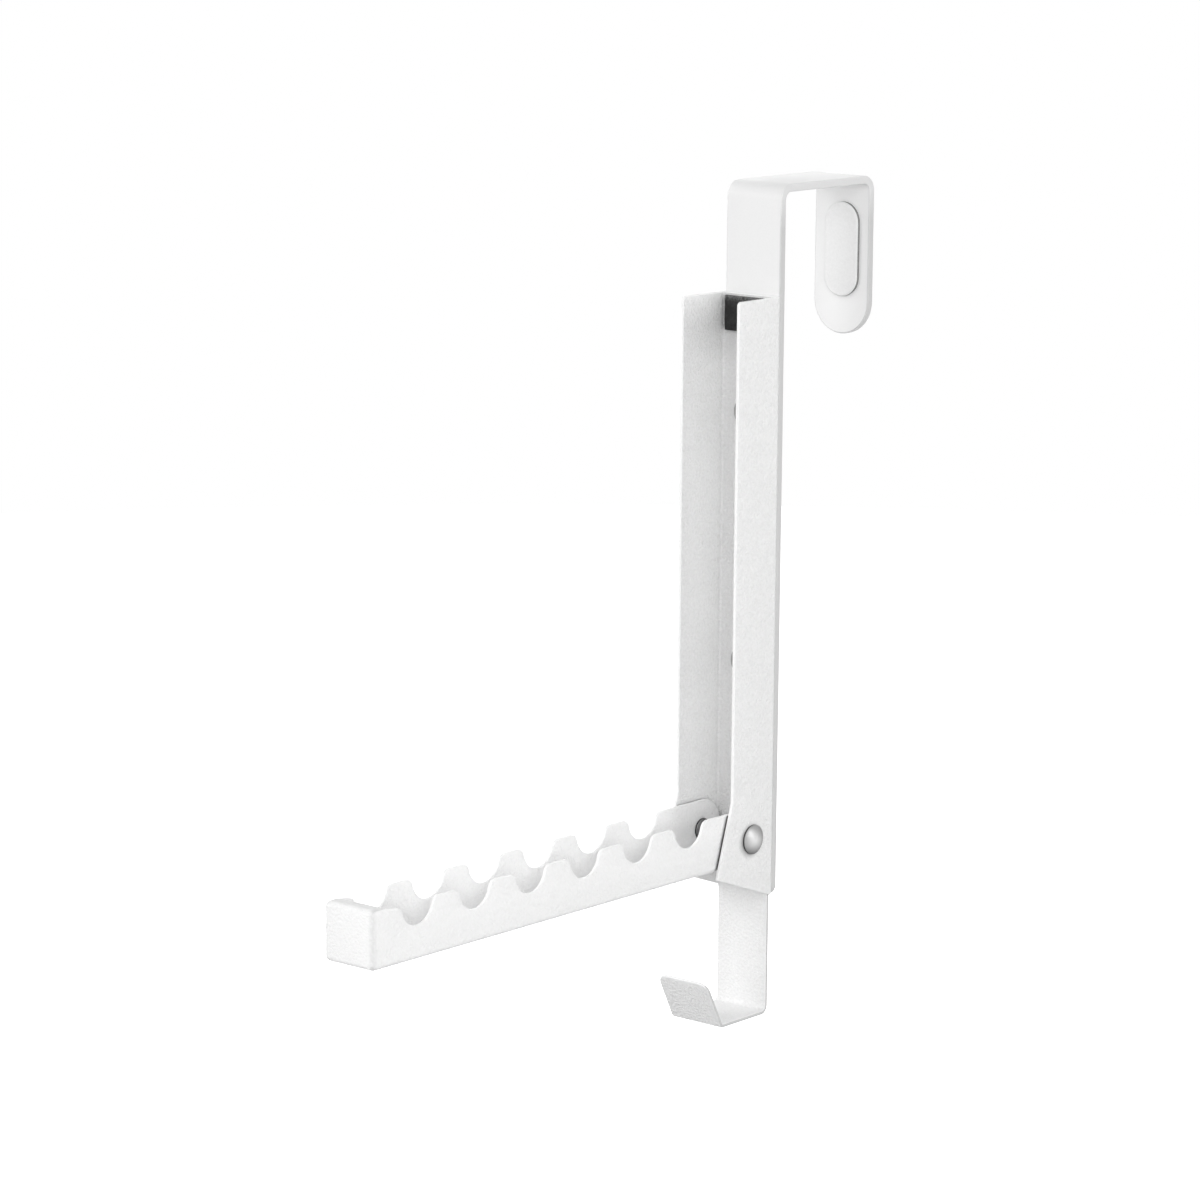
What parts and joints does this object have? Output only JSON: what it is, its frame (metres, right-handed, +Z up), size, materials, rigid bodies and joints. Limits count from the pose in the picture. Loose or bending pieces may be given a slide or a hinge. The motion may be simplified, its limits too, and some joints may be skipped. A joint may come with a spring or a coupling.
{
  "type": "over-the-door hook",
  "caption": "Over-the-door hook: a flat strap with a padded back leg carries a steel channel with a folding, notched hanger arm and a J hook at its foot.",
  "frame": {"origin": "Middle of the underside of the strap's span, where it rests on the top of the door, midway between the legs", "axes": "+X across the strap to the right, seen from the room; +Y from the room towards the far side of the door; +Z up"},
  "size_m": [0.0318, 0.2679, 0.3074],
  "materials": {
    "strap_coat": "smooth satin white powder coat",
    "channel_coat": "fine-grained matt white powder coat",
    "arm_coat": "fine-grained matt white powder coat",
    "door_pad_foam": "soft matt off-white",
    "catch_pad_rubber": "matt black",
    "web_rivet_steel": "dull plated steel",
    "pivot_rivet_steel": "satin plated steel",
    "washer_steel": "dull plated steel"
  },
  "bodies": {
    "hanger_body": {"door_strap": "strap_coat", "door_pad": "door_pad_foam", "channel_bracket": "channel_coat", "catch_pad": "catch_pad_rubber", "web_rivet_upper": "web_rivet_steel", "web_rivet_lower": "web_rivet_steel", "washer_left": "washer_steel", "washer_right": "washer_steel", "pivot_rivet_left": "pivot_rivet_steel", "pivot_rivet_right": "pivot_rivet_steel"},
    "arm": {"swing_arm": "arm_coat"}
  },
  "joints": [
    {"name": "arm_fold", "type": "hinge", "parent": "hanger_body", "child": "arm", "pos_m": [0, -0.04065, -0.2354], "axis": [-1, 0, 0], "range_deg": [0, 89.6]}
  ]
}
